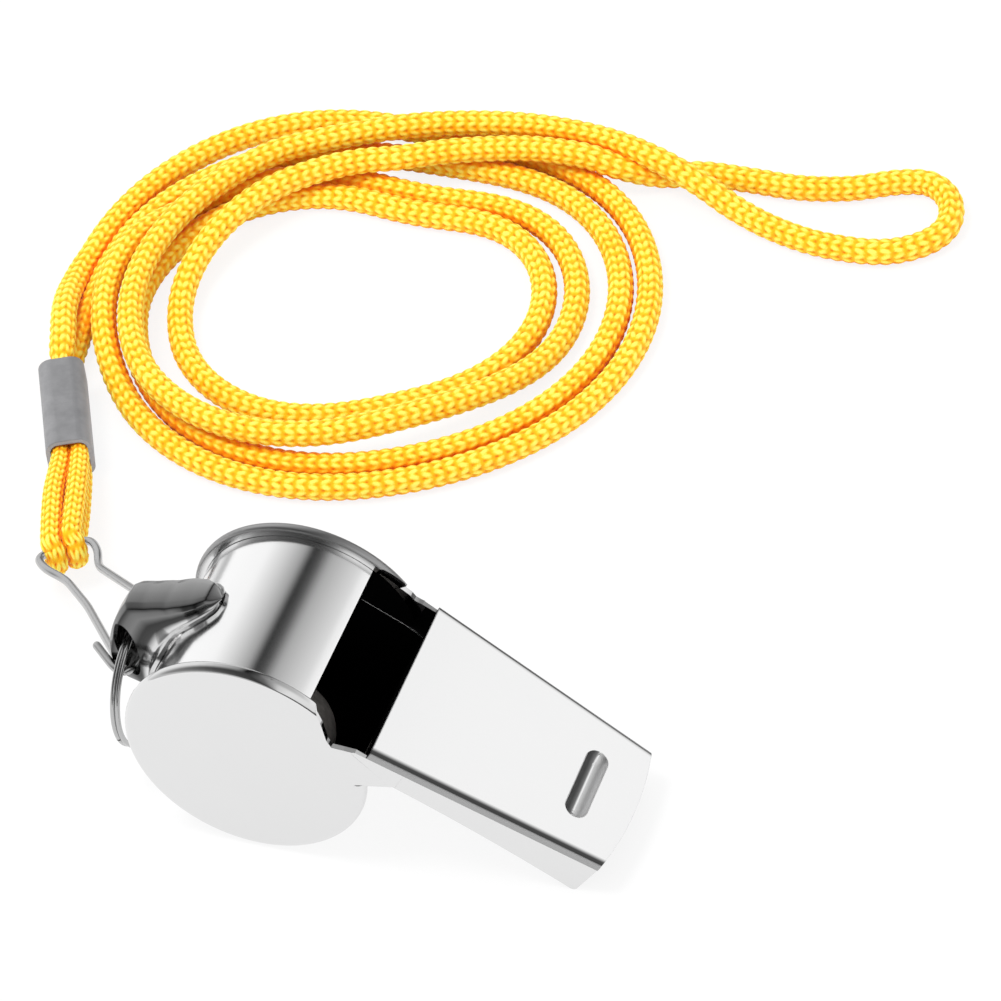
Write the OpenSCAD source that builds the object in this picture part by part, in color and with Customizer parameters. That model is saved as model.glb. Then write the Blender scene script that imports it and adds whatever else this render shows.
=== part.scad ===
// Pea whistle of pressed stainless steel on a doubled, knitted neck lanyard.
// Lengths are millimetres and angles degrees. The table is z = 0. The mouthpiece points to +X.
// In the whistle's own frame x runs from the barrel's axis to the mouthpiece, y across the width
// and z away from the mouthpiece's floor.

/* [Shown] */
// the piece that is built, or all of them

/* [Whistle body] */
// radius of the two round side plates
disc_r = 12.9; // [10:0.1:16]
// width over the two side plates
body_w = 21.3; // [16:0.1:26]
// thickness of the pressed sheet
sheet = 0.6; // [0.4:0.05:0.9]
// thickness of the rim that each side plate turns in over the barrel
rim_t = 1.05; // [0.7:0.05:1.6]
// width of that rim
rim_w = 1.3; // [1.1:0.1:3]
// radius of the plate's rounded edge
rim_round = 0.9; // [0.5:0.1:1]
// clearance between a rim and the barrel
seam_gap = 0.05; // [0.02:0.01:0.1]
// angle of the barrel's blade edge, measured from the mouthpiece's direction
blade_deg = 80.35; // [70:0.5:90]

/* [Mouthpiece] */
// height of the flat top over the barrel's axis
top_v = 11.12; // [9:0.05:13]
// distance from the barrel's axis to the back of the flat top, where the window ends
window_u = 9.8; // [8.6:0.1:12]
// distance from the barrel's axis to the side corners of the tip
tip_u = 35.56; // [28:0.1:44]
// how far the tip bows out between its corners
tip_bow = 0.9; // [0.2:0.1:1.6]
// width over the cheeks at the tip
tip_w = 16.2; // [13:0.1:20]
// depth of the lips that turn down over the cheeks
lip_h = 1.02; // [0.8:0.02:1.6]
// radius of the top's long edges
edge_round = 0.8; // [0.3:0.1:1]
// distance from the barrel's axis to the neck, where the floor bends down
neck_u = 13.7; // [12.8:0.1:16]
// height of the neck's outside corner
neck_v = 7.75; // [7:0.05:8.5]
// distance from the barrel's axis to the tip's lower corner
tip_low_u = 35.06; // [28:0.1:43]
// height of the tip's lower corner
tip_low_v = 5.5; // [4.5:0.05:7]
// how far the floor bows below the straight line
floor_bow = 0.3; // [0:0.05:0.6]
// radius of the tip's lower corner
tip_round = 0.5; // [0.3:0.1:0.8]
// thickness of the strip that makes the windway's floor
strip_t = 0.5; // [0.3:0.05:0.8]
// distance from the barrel's axis to the strip's free end
strip_u = 10.2; // [9.8:0.1:12]
// distance from the barrel's axis to the tooth dent
dent_u = 30.8; // [26:0.1:33]
// length of the tooth dent across the mouthpiece
dent_len = 8.8; // [5:0.1:11]
// width of the tooth dent at the surface
dent_w = 2.5; // [1.5:0.1:4]
// depth of the tooth dent
dent_depth = 0.8; // [0.4:0.05:1]

/* [Pea] */
// radius of the cork pea
pea_r = 5.5; // [4.5:0.1:5.5]
// clearance between the pea and the barrel
pea_gap = 0.1; // [0.05:0.05:0.5]
// place of the pea across the width
pea_y = -1.4; // [-3:0.1:3]

/* [Lanyard ear] */
// width over the ear's two cheeks
ear_w = 4.9; // [3.5:0.1:7]
// width of the strap that runs up the barrel
strap_w = 3.4; // [2.4:0.1:4.9]
// reach of the ear beyond the barrel
ear_reach = 6; // [4.5:0.1:8]
// angle on the barrel of the ear's upper end
ear_from = 145.5; // [135:0.5:155]
// angle on the barrel of the ear's lower end
ear_to = 218; // [210:0.5:226]
// thickness of the ear's sheet
ear_t = 0.6; // [0.4:0.05:0.9]
// width of the foot that the ear rests on
foot_w = 10.4; // [7:0.1:14]
// length of the slot through the ear
slot_len = 6; // [4.5:0.1:6.4]
// width of the slot through the ear
slot_w = 2.1; // [1.8:0.1:2.4]

/* [Split ring] */
// mean radius of the split ring
ring_r = 7; // [5:0.1:8]
// radius of the ring's wire
ring_wire_r = 0.27; // [0.2:0.01:0.4]
// width of the cut between the ring's wire ends
ring_cut = 0.3; // [0.1:0.05:0.6]

/* [Wire clip] */
// radius of the clip's wire
clip_wire_r = 0.45; // [0.3:0.05:0.6]
// reach of the clip from its pin to its bar
clip_reach = 29; // [24:0.5:36]
// width of the clip at its bar
clip_w = 6; // [5.8:0.1:8]
// radius of the bends in the clip's wire
clip_bend_r = 0.8; // [0.6:0.1:1.2]

/* [Ferrule] */
// length of the crimped ferrule
ferrule_len = 13; // [10:0.5:18]
// width of the ferrule
ferrule_w = 5; // [4.6:0.1:7]
// height of the ferrule
ferrule_h = 5.6; // [5:0.1:7]
// thickness of the ferrule's wall
ferrule_t = 0.5; // [0.3:0.05:0.5]
// width of the open seam along the ferrule
ferrule_seam = 0.8; // [0.3:0.1:1.4]

/* [Lanyard cord] */
// diameter of the knitted cord where it lies free
cord_d = 2.6; // [2:0.1:2.7]
// diameter of the cord where the ferrule squeezes it
squeezed_d = 2; // [1.6:0.1:2]
// diameter of the cord where it loops round the clip
tail_d = 2.1; // [1.7:0.1:2.2]

/* [Hidden] */
$fn = 96;

// colours that the photo shows
steel = [0.82, 0.82, 0.83];
bright_steel = [0.9, 0.9, 0.91];
wire_steel = [0.62, 0.62, 0.63];
cork = [0.3, 0.24, 0.2];
aluminium = [0.66, 0.66, 0.67];
yellow = [1, 0.76, 0.05];

// one overrun serves every cut
overrun = 1;
// how deep pieces of one solid run into each other
lap = 0.3;

// whistle body
barrel_r = disc_r - rim_t - seam_gap;
barrel_in = barrel_r - sheet;
barrel_w = body_w - 2 * sheet;
// angle at which the barrel ends and the mouthpiece's floor begins
floor_deg = 25;
// angles between which a side plate runs on into its cheek and has no rim
cheek_from = 28;
cheek_to = 51;
// angle at which the rim begins, inside the notch that the window cuts into the plate
rim_from = 63;
// angle of the cheek's lower inside corner, which the rim covers, and of the flat plate's end
cheek_under = 27;
plate_to = 29;
// place where a cheek bends inwards, and how much
bend_u = disc_r * cos(cheek_to) + rim_round / 5;
// the window's notches in the near and the far side plate, as shares of the plate's radius: the
// photo shows the near one cut deeper
near_notch = [[0.195, 1.12], [0.203, 0.98], [0.324, 0.868], [0.426, 0.738], [0.487, 0.699],
  [0.575, 0.743]];
far_notch = [[0.42, 1.12], [0.43, 0.89], [0.478, 0.85], [0.521, 0.8], [0.564, 0.779], [0.6, 0.779]];
// between the blade's edge and the notch, the rim narrows to the plate's thickness: where it starts
// and ends to narrow, as tangents of the angle from the whistle's upright
rim_narrows = [[0.172, 0.245], [0.2, 0.5]];
taper = atan2((body_w - tip_w) / 2, tip_u - bend_u);
// thickness of a leaning cheek, measured across the whistle
cheek_y = sheet / cos(taper);
seat_v = top_v - lip_h;
tip_lean = rim_round / 2;

// height of the floor's underside at a share of the way from the neck to the tip
function low_v(share) = neck_v + (tip_low_v - neck_v) * share + 4 * floor_bow * share * (1 - share);
function low_point(share) = [neck_u + (tip_low_u - neck_u) * share, low_v(share)];
low_steps = 10;
low_edge = [for (i = [0 : low_steps]) low_point(i / low_steps)];

function unit(v) = v / norm(v);
function left_of(d) = [-d.y, d.x];
// the point at a distance inside the corner p, between the edges that run along a and b
function inside_corner(p, a, b, distance) =
  p + distance * (left_of(a) + left_of(b)) / (1 + left_of(a) * left_of(b));
low_dir = unit(low_edge[low_steps] - low_edge[low_steps - 1]);
end_dir = unit([tip_lean, seat_v - tip_low_v]);
tip_centre = inside_corner(low_edge[low_steps], low_dir, end_dir, tip_round);
// the whistle lies on its side plates' lowest points and on the tip's lower corners
pitch = atan2(tip_centre.y, tip_centre.x) + asin((disc_r - tip_round) / norm(tip_centre));

// the whole object's box is centred along X between the tip and the ear
tip_front = (tip_u + tip_bow) * cos(pitch) + top_v * sin(pitch);
ear_back = barrel_r + ear_reach;
barrel_x = -(tip_front - ear_back) / 2;
function to_world(u, w, v) =
  [barrel_x + u * cos(pitch) + v * sin(pitch), w, disc_r - u * sin(pitch) + v * cos(pitch)];

// half the width over the cheeks, at a distance from the barrel's axis
function half_w(u) = body_w / 2 - seam_gap - (u - bend_u) * tan(taper);

// lanyard ear: its side outline, as shares of its angle and of its reach
ear_outline_shares = [[0, 0], [0.18, 0.16], [0.34, 0.39], [0.47, 0.66], [0.59, 0.95], [0.68, 1],
  [0.79, 0.93], [0.92, 0.7], [1, 0]];
function around(angle, r) = r * [cos(angle), sin(angle)];
function ear_edge(inset) = [for (s = curve(ends_doubled(ear_outline_shares), 4))
  around(ear_from + s[0] * (ear_to - ear_from), barrel_r + s[1] * ear_reach - inset)];
// angles on the barrel between which the foot hugs it
foot_from = 178;
foot_to = ear_to + 4;
slot_deg = -46;
slot_centre = around(198, barrel_r + 0.664 * ear_reach);
slot_dir = around(slot_deg, 1);
// the clip's pin lies towards the slot's lower end
pin_at = slot_centre + slot_dir * slot_len * 0.36;
// across the width, the strap widens to the ear's cheeks between these heights
strap_top = barrel_r * sin(ear_from);

// split ring: it hangs from a place a little above the middle of the slot
ring_at = slot_centre - slot_dir * slot_len * 0.1;
ring_top = to_world(ring_at.x, 0, ring_at.y);
ring_pitch = 2 * ring_wire_r * 0.96;

// wire clip: its frame starts at the pin and runs along the clip, across it and off its plane
clip_turn = 41.35;
clip_dip = 20;
clip_across = [cos(clip_turn), sin(clip_turn), 0];
clip_along = [-sin(clip_turn) * cos(clip_dip), cos(clip_turn) * cos(clip_dip), -sin(clip_dip)];
clip_off = cross(clip_along, clip_across);
pin_world = to_world(pin_at.x, 0, pin_at.y);
// the wire's bends, as shares of the reach, of the width and of the width
clip_shares = [[0.085, -0.66, -0.14], [-0.058, -0.56, 0.1], [-0.083, -0.37, 0.14],
  [0.083, 0.37, -0.11], [0.166, 0.13, -0.2], [0.34, 0.47, -0.22], [0.78, 0.25, 0.06],
  [0.88, 0.41, 0], [1, 0.41, 0], [1, -0.59, 0], [0.88, -0.59, 0], [0.77, -0.36, 0.08],
  [0.49, -0.33, 0.04], [0.04, -0.44, 0.02]];
function in_clip(s) =
  pin_world + clip_reach * s[0] * clip_along + clip_w * s[1] * clip_across + clip_w * s[2] * clip_off;
clip_route = [for (s = clip_shares) in_clip(s)];
bar_centre = (in_clip([1, 0.41, 0]) + in_clip([1, -0.59, 0])) / 2;

// ferrule: from its lower end to its upper end
ferrule_turn = 115.8;
ferrule_start = [-47.9, 34, ferrule_h / 2];
ferrule_dir = [cos(ferrule_turn), sin(ferrule_turn), 0];
ferrule_side = [sin(ferrule_turn), -cos(ferrule_turn), 0];
up = [0, 0, 1];
ferrule_middle = ferrule_start + ferrule_dir * ferrule_len / 2;
ferrule_end = ferrule_start + ferrule_dir * ferrule_len;
// half the spacing of the cords that lie side by side in the ferrule
nest = squeezed_d / 2;
// gap between cord ends inside the ferrule
butt_gap = 0.3;

// a smooth curve through the points of a list: its first and last points only give directions
function curve_point(p, i, s) = 0.5 * (2 * p[i] + (p[i + 1] - p[i - 1]) * s
  + (2 * p[i - 1] - 5 * p[i] + 4 * p[i + 1] - p[i + 2]) * s * s
  + (3 * p[i] - p[i - 1] - 3 * p[i + 1] + p[i + 2]) * s * s * s);
function curve(p, steps) = concat(
  [for (i = [1 : len(p) - 3], k = [0 : steps - 1]) curve_point(p, i, k / steps)], [p[len(p) - 2]]);
function ends_doubled(p) =
  concat([2 * p[0] - p[1]], p, [2 * p[len(p) - 1] - p[len(p) - 2]]);
// a wire's route with each bend rounded
function bent(p, r, steps) = concat([p[0]], [for (i = [1 : len(p) - 2], k = [0 : steps])
  let(a = p[i] + r * unit(p[i - 1] - p[i]), b = p[i] + r * unit(p[i + 1] - p[i]), s = k / steps)
  (1 - s) * (1 - s) * a + 2 * s * (1 - s) * p[i] + s * s * b], [p[len(p) - 1]]);

// coils: the cord runs clockwise from the coil's left, and a turn is counted from there.
// Each lane has a start radius, moves [from turn, to turn, change of radius], climbs
// [from turn, to turn, change of height], the depth of the dents at the top, and its end
coil_centre = [-24.5, 66];
ground_z = cord_d / 2 + 0.05;
lane_a = [33.9, [[0.02, 0.45, -3.9], [0.96, 1.22, -8], [1.56, 1.9, 5.4], [1.86, 2.1, -2]],
  [[0.86, 0.94, 1.9], [1, 1.07, -1.9], [1.48, 1.7, 3.05]], 4.4, 2.125];
lane_b = [31.2, [[0, 0.2, -4.4], [0.95, 1.22, -8.4], [1.66, 1.92, 3.4], [1.95, 2.15, -1.6]],
  [[1.9, 2.12, 3.05]], 3.6, 2.2083];
top_turn = 0.25;
top_width = 0.09;
// all strands lie a little closer at the coil's lower right
right_turn = 0.66;
right_width = 0.12;
right_dip = 2.2;
rings_per_turn = 24;
function smooth(x) = x <= 0 ? 0 : x >= 1 ? 1 : x * x * (3 - 2 * x);
function total(list, i = 0) = i >= len(list) ? 0 : list[i] + total(list, i + 1);
function moved(moves, t) = total([for (m = moves) m[2] * smooth((t - m[0]) / (m[1] - m[0]))]);
function dip(t, at, width) = exp(-pow((t - floor(t) - at) / width, 2));
// the strands that leave the coil are no longer dented
function dented(t) = 1 - smooth((t - 1.9) / 0.2);
function lane_r(lane, t) = lane[0] + moved(lane[1], t)
  - lane[3] * dip(t, top_turn, top_width) * dented(t) - right_dip * dip(t, right_turn, right_width);
function coil_point(lane, t) = let(r = lane_r(lane, t), angle = 180 - 360 * t)
  [coil_centre.x + r * cos(angle), coil_centre.y + r * sin(angle), ground_z + moved(lane[2], t)];
function coil(lane) = [for (k = [0 : round(lane[4] * rings_per_turn)])
  coil_point(lane, k / rings_per_turn)];
coil_a = coil(lane_a);
coil_b = coil(lane_b);
last_a = len(coil_a) - 1;
last_b = len(coil_b) - 1;

// leads: from the ferrule to the coil. The first two points are in the ferrule
lead_a_route = [[-55.2, 50.2, 4.1], [-57.1, 55.4, 3.6], [-58.3, 60.8, 2]];
lead_b_route = [[-54.5, 50.6, 1.4], [-55.2, 55.6, 1.35], [-55.6, 60.8, 1.35]];
cord_rise = squeezed_d / 2 + butt_gap / 3;
function lead_start(level) = [
  ferrule_middle + ferrule_dir * butt_gap / 2 + up * level * cord_rise,
  ferrule_end + up * level * cord_rise];
function lead(route, level, ring) = let(start = lead_start(level))
  curve(concat([start[0] - ferrule_dir], start, route, [ring[0], ring[1]]), 4);
lead_a = lead(lead_a_route, 1, coil_a);
lead_b = lead(lead_b_route, -1, coil_b);

// neck loop: from the end of coil a round the bight and back to the end of coil b
neck_route = [[-33, 89.6, 4.4], [-25.2, 92.6, 4.4], [-16.2, 94.3, 4.4], [-7.6, 94, 4.5],
  [-1, 92.3, 4.5], [4.4, 90.8, 3.4], [9.2, 89.3, 1.8], [14.2, 87.6, 1.35], [20, 86.4, 1.35],
  [26.4, 86.7, 1.35], [30.6, 88.9, 1.35], [32.6, 92.3, 1.35], [31.8, 96.2, 1.35],
  [29, 98.5, 1.35], [25.4, 98, 1.35], [20.5, 95.8, 1.35], [15, 94.6, 1.35], [9.3, 94.5, 1.35],
  [4, 94.3, 1.35], [-0.6, 92.8, 1.6], [-4.6, 91.3, 3.2], [-9, 91, 4.4], [-15.6, 90.6, 4.4],
  [-23.2, 88.4, 4.4]];
neck = curve(concat([coil_a[last_a - 1], coil_a[last_a]], neck_route,
  [coil_b[last_b], coil_b[last_b - 1]]), 3);

// tails: each runs from the ferrule over the clip's bar, round it and back under it
tail_swing = tail_d / 2 + clip_wire_r + 0.05;
tail_spacing = tail_d / 2 + 0.07;
bar_back = [sin(clip_turn), -cos(clip_turn), 0];
function tail_inside(side, level) = ferrule_side * side * nest + up * level * cord_rise;
function tail_bar(side) = bar_centre + clip_across * side * tail_spacing;
function tail(side) = let(bar = tail_bar(side), upper = tail_inside(side, 1),
    lower = tail_inside(side, -1), half = (ferrule_start + bar) / 2,
    spread = ferrule_side * side * tail_d / 3)
  curve(concat(
    [ferrule_middle + upper, ferrule_middle - ferrule_dir * butt_gap / 2 + upper,
      ferrule_start + ferrule_dir * squeezed_d + upper, ferrule_start - ferrule_dir * nest + upper],
    [half + spread + up * tail_d * 0.75],
    [for (angle = [90 : -30 : -90]) bar + tail_swing * (bar_back * cos(angle) + up * sin(angle))],
    [half + spread - up * tail_d * 0.62],
    [ferrule_start - ferrule_dir * nest + lower, ferrule_start + ferrule_dir * squeezed_d + lower,
      ferrule_middle - ferrule_dir * butt_gap / 2 + lower, ferrule_middle + lower]), 3);

// least distance between two rings of a coil that are more than a third of a turn apart
function self_gap(p, d) = min([for (i = [0 : len(p) - 1], k = [i + 9 : 1 : len(p) - 1])
  norm(p[i] - p[k])]) - d;
fine = 4;
function fine_coil(lane) = [for (k = [0 : round(lane[4] * rings_per_turn * fine)])
  coil_point(lane, k / rings_per_turn / fine)];
function fine_gap(lane) = let(p = fine_coil(lane)) min([for (i = [0 : len(p) - 1],
  k = [i + 9 * fine : 1 : len(p) - 1]) norm(p[i] - p[k])]) - cord_d;
echo(coil_a_gap = fine_gap(lane_a), coil_b_gap = fine_gap(lane_b));
function route_length(p, i = 0) = total([for (k = [0 : len(p) - 2]) norm(p[k + 1] - p[k])]);
echo(strand_a = route_length(concat(lead_a, coil_a)), strand_b = route_length(concat(lead_b, coil_b)),
  neck = route_length(neck));
echo(pitch = pitch, barrel_x = barrel_x, ring_top = ring_top, pin = pin_world, bar = bar_centre,
  clip_along = clip_along, taper = taper, bend_u = bend_u);

// a tube along a path whose first and last points only give directions
module tube(path, radii, sides, ref = up) {
  rings = len(path) - 2;
  points = [for (i = [1 : rings])
    let(t = unit(path[i + 1] - path[i - 1]), s = unit(cross(ref, t)), v = cross(t, s),
      r = radii[min(i - 1, len(radii) - 1)])
    for (k = [0 : sides - 1])
      let(angle = 360 * (k + (sides == 6 ? 0 : 1 / 2)) / sides)
      path[i] + r * (cos(angle) * s + sin(angle) * v)];
  faces = concat(
    [for (i = [0 : rings - 2], k = [0 : sides - 1]) let(a = i * sides + k,
      b = i * sides + (k + 1) % sides) [a, a + sides, b]],
    [for (i = [0 : rings - 2], k = [0 : sides - 1]) let(a = i * sides + k,
      b = i * sides + (k + 1) % sides) [b, a + sides, b + sides]],
    [for (k = [1 : sides - 2]) [0, k, k + 1]],
    [for (k = [1 : sides - 2]) let(z = (rings - 1) * sides) [z, z + k + 1, z + k]]);
  polyhedron(points, faces, convexity = 10);
}

// from the whistle's own frame to where it lies
module in_whistle() {
  translate([barrel_x, 0, disc_r]) rotate([0, pitch, 0]) children();
}

// a shape round the Z axis is turned to lie round the barrel's axis
module about_barrel() {
  rotate([90, 0, 0]) children();
}

// a side outline, given width across the whistle
module slab(width) {
  translate([0, width / 2, 0]) rotate([90, 0, 0]) linear_extrude(width) children();
}

// a quarter of a disc that rounds a section's corner
module quarter(r) {
  intersection() {
    circle(r);
    square(r);
  }
}

module rim_section() {
  face_y = body_w / 2;
  inner = barrel_r + seam_gap;
  // the rim's inner corner is rounded less than its outer one
  inner_round = rim_w - rim_round;
  translate([barrel_in, face_y - sheet]) square([inner - barrel_in, sheet]);
  translate([inner, face_y - rim_round]) square([rim_t - rim_round, rim_round]);
  translate([disc_r - rim_round, face_y - rim_round]) quarter(rim_round);
  translate([inner, face_y - rim_w]) square([rim_t - inner_round, inner_round]);
  translate([disc_r - inner_round, face_y - rim_round]) mirror([0, 1]) quarter(inner_round);
}

// the cheek's outline, from the bend line to the tip
module cheek_outline() {
  stretch = 1 / cos(taper);
  low_angle = atan2(low_dir.y, low_dir.x);
  end_angle = atan2(end_dir.y, end_dir.x);
  tip_arc = [for (i = [0 : 4]) tip_centre + around(low_angle - 90 + i / 4 * (end_angle - low_angle),
    tip_round)];
  edge = concat(
    [[bend_u - lap, bend_u * tan(cheek_under)], around(cheek_under, disc_r - rim_t * 0.8)],
    [for (i = [0 : low_steps - 1]) low_edge[i]],
    tip_arc,
    [[tip_low_u + tip_lean, seat_v], [bend_u - lap, seat_v]]);
  polygon([for (p = edge) [(p.x - bend_u) * stretch, p.y]]);
}

// a sheet that eases the flat plate into the leaning cheek, over the neck
module neck_gusset() {
  face = -body_w / 2;
  low = around(plate_to - 1, barrel_r);
  top = [bend_u - lap, seat_v - lap];
  ramp = [neck_u - 2 * lap, neck_v];
  outline = [[bend_u - lap, bend_u * tan(plate_to) - lap], low, ramp, top];
  // the outer face lies in the plate's face, but for the ramp's far corner on the cheek
  depth = [face, face, face + seam_gap + (ramp.x - bend_u) * tan(taper), face];
  points = concat([for (i = [0 : 3]) [outline[i].x, depth[i], outline[i].y]],
    [for (i = [0 : 3]) [outline[i].x, depth[i] + sheet - lap / 2, outline[i].y]]);
  polyhedron(points, [[0, 3, 1], [1, 3, 2], [4, 5, 7], [5, 6, 7], [0, 1, 5, 4], [1, 2, 6, 5],
    [2, 3, 7, 6], [3, 0, 4, 7]]);
}

// what narrows the rim beside the window, from where it is full to where only the sheet is left
module rim_taper(from, to) {
  inner = body_w / 2 - rim_w - seam_gap;
  outer = body_w / 2 - sheet + seam_gap / 2;
  far = disc_r + overrun;
  low = barrel_r / 2;
  // both outlines slant along the rim's radius
  hull() {
    translate([0, -inner, 0]) rotate([90, 0, 0]) linear_extrude(seam_gap)
      polygon([[low * from, low], [far * from, far], [far, far], [far, low]]);
    translate([0, seam_gap - outer, 0]) rotate([90, 0, 0]) linear_extrude(seam_gap)
      polygon([[low * to, low], [far * to, far], [far, far], [far, low]]);
  }
}

// the plate whose flat face looks towards -Y
module side_plate(notch, narrow) {
  difference() {
    union() {
      difference() {
        about_barrel() translate([0, 0, body_w / 2 - sheet]) cylinder(r = barrel_r, h = sheet);
        slab(body_w + overrun) polygon([[bend_u, bend_u * tan(plate_to)],
          around(plate_to, disc_r + overrun), [disc_r + overrun, disc_r + overrun],
          [bend_u, disc_r + overrun]]);
      }
      // the flat plate's corner beside the window
      translate([0, sheet - body_w / 2, 0]) rotate([90, 0, 0]) linear_extrude(sheet)
        polygon([around(cheek_to, barrel_in - overrun), [bend_u, barrel_r * sin(cheek_to) - overrun],
          [bend_u, seat_v], around(rim_from, disc_r - rim_t)]);
      about_barrel() rotate([0, 0, rim_from]) rotate_extrude(angle = 360 + cheek_from - rim_from)
        rim_section();
      translate([bend_u, seam_gap - body_w / 2, 0]) rotate([0, 0, taper]) translate([0, sheet, 0])
        rotate([90, 0, 0]) linear_extrude(sheet) cheek_outline();
      neck_gusset();
    }
    slab(body_w + overrun) polygon(concat(disc_r * notch,
      [[bend_u + lap, seat_v + seam_gap], [bend_u + lap, disc_r + overrun]]));
    rim_taper(narrow[0], narrow[1]);
  }
}

module left_side_plate() {
  color(steel) in_whistle() side_plate(near_notch, rim_narrows[0]);
}

module right_side_plate() {
  color(steel) in_whistle() mirror([0, 1, 0]) side_plate(far_notch, rim_narrows[1]);
}

// one rolled strip, open from the blade's edge to the mouthpiece's floor
module barrel_shell() {
  color(steel) in_whistle() about_barrel() rotate([0, 0, blade_deg])
    rotate_extrude(angle = 360 + floor_deg - blade_deg)
      translate([barrel_in, -barrel_w / 2]) square([sheet, barrel_w]);
}

// the mouthpiece seen from above, drawn in at its sides
module top_outline(inset, back, bow) {
  steps = 8;
  tip_half = half_w(tip_u) - inset;
  tip_arc = [for (i = [-steps : steps]) let(s = i / steps)
    [tip_u + bow * (1 - s * s), s * tip_half]];
  polygon(concat([[back, half_w(back) - inset]], [for (i = [2 * steps : -1 : 0]) tip_arc[i]],
    [[back, inset - half_w(back)]]));
}

// what a rounded long edge takes away, along the edge on the +Y side
module edge_cutter() {
  long = tip_u + overrun * 2;
  // the round bites this little into both faces
  bite = edge_round / 150;
  in = edge_round - bite;
  translate([bend_u, half_w(bend_u), top_v]) rotate([0, 0, -taper]) difference() {
    translate([0, -in, -in]) cube([long, in + overrun, in + overrun]);
    translate([-overrun, -in, -in]) rotate([0, 90, 0]) cylinder(r = edge_round, h = long + 2 * overrun);
  }
}

// the tooth dent as a bar with round ends, sunk from above
module dent_bar(r, sink) {
  half = dent_len / 2 - dent_w / 2;
  translate([dent_u, 0, top_v + sink]) {
    rotate([90, 0, 0]) translate([0, 0, -half]) cylinder(r = r, h = 2 * half);
    for (side = [-1, 1]) translate([0, side * half, 0]) sphere(r);
  }
}

module mouthpiece_top() {
  dent_r = (dent_w * dent_w / 4 + dent_depth * dent_depth) / (2 * dent_depth);
  dent_sink = dent_r - dent_depth;
  color(bright_steel) in_whistle() difference() {
    union() {
      difference() {
        translate([0, 0, seat_v]) linear_extrude(lip_h) top_outline(0, window_u, tip_bow);
        translate([0, 0, seat_v - overrun]) linear_extrude(lip_h - sheet + overrun)
          top_outline(cheek_y, window_u - overrun, tip_bow + overrun);
      }
      intersection() {
        dent_bar(dent_r + sheet, dent_sink);
        translate([0, 0, top_v - sheet / 2 - dent_depth - sheet]) linear_extrude(dent_depth + sheet)
          top_outline(cheek_y, window_u, 0);
      }
    }
    dent_bar(dent_r, dent_sink);
    edge_cutter();
    mirror([0, 1, 0]) edge_cutter();
  }
}

// the floor's sheet runs along the cheeks' lower edge, then bends down to the barrel's end
module mouthpiece_floor() {
  barrel_end = around(floor_deg, barrel_r);
  down_dir = unit(low_edge[0] - barrel_end);
  along_dir = unit(low_edge[1] - low_edge[0]);
  neck_inside = inside_corner(low_edge[0], down_dir, along_dir, sheet);
  flat_steps = low_steps - 1;
  color(bright_steel) in_whistle() difference() {
    intersection() {
      slab(body_w) polygon(concat([barrel_end], [for (i = [0 : flat_steps]) low_edge[i]],
        [for (i = [flat_steps : -1 : 1]) low_edge[i] + [0, sheet]],
        [neck_inside, around(floor_deg, barrel_in)]));
      translate([0, 0, -disc_r]) linear_extrude(2 * disc_r) top_outline(cheek_y, bend_u, tip_bow);
    }
    // the bent part is narrower, so that it fits between the two rims
    for (side = [-1, 1]) translate([0, side * (body_w - rim_w - seam_gap), 0]) slab(body_w)
      circle(disc_r + seam_gap);
  }
}

// a flat strip on the floor that guides the air to the blade's edge
module windway_floor() {
  first = low_edge[1] + [0, sheet];
  slope = (low_edge[1].y - low_edge[2].y) / (low_edge[2].x - low_edge[1].x);
  back = [strip_u, first.y + (first.x - strip_u) * slope];
  flat_steps = low_steps - 1;
  color(steel) in_whistle() intersection() {
    slab(body_w) polygon(concat([back], [for (i = [1 : flat_steps]) low_edge[i] + [0, sheet]],
      [for (i = [flat_steps : -1 : 1]) low_edge[i] + [0, sheet + strip_t]], [back + [0, strip_t]]));
    translate([0, 0, -disc_r]) linear_extrude(2 * disc_r)
      top_outline(cheek_y + seam_gap, bend_u, tip_bow);
  }
}

// the ear's outline across the whistle: a narrow strap over two wider cheeks
module ear_front(width) {
  narrow = min(strap_w, width) / 2;
  polygon([[-narrow * 0.8, strap_top + overrun], [narrow * 0.8, strap_top + overrun],
    [narrow, strap_top - sheet], [narrow, sheet], [width / 2, -2 * sheet],
    [width / 2, -2 * barrel_r], [-width / 2, -2 * barrel_r], [-width / 2, -2 * sheet],
    [-narrow, sheet], [-narrow, strap_top - sheet]]);
}

module ear_slot() {
  half = (slot_len - slot_w) / 2;
  translate([slot_centre.x, 0, slot_centre.y]) rotate([0, -slot_deg, 0]) rotate([90, 0, 0])
    translate([0, 0, -ear_w]) linear_extrude(2 * ear_w) {
      translate([-half, -slot_w / 2]) square([2 * half, slot_w]);
      for (side = [-1, 1]) translate([side * half, 0]) circle(slot_w / 2);
    }
}

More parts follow.
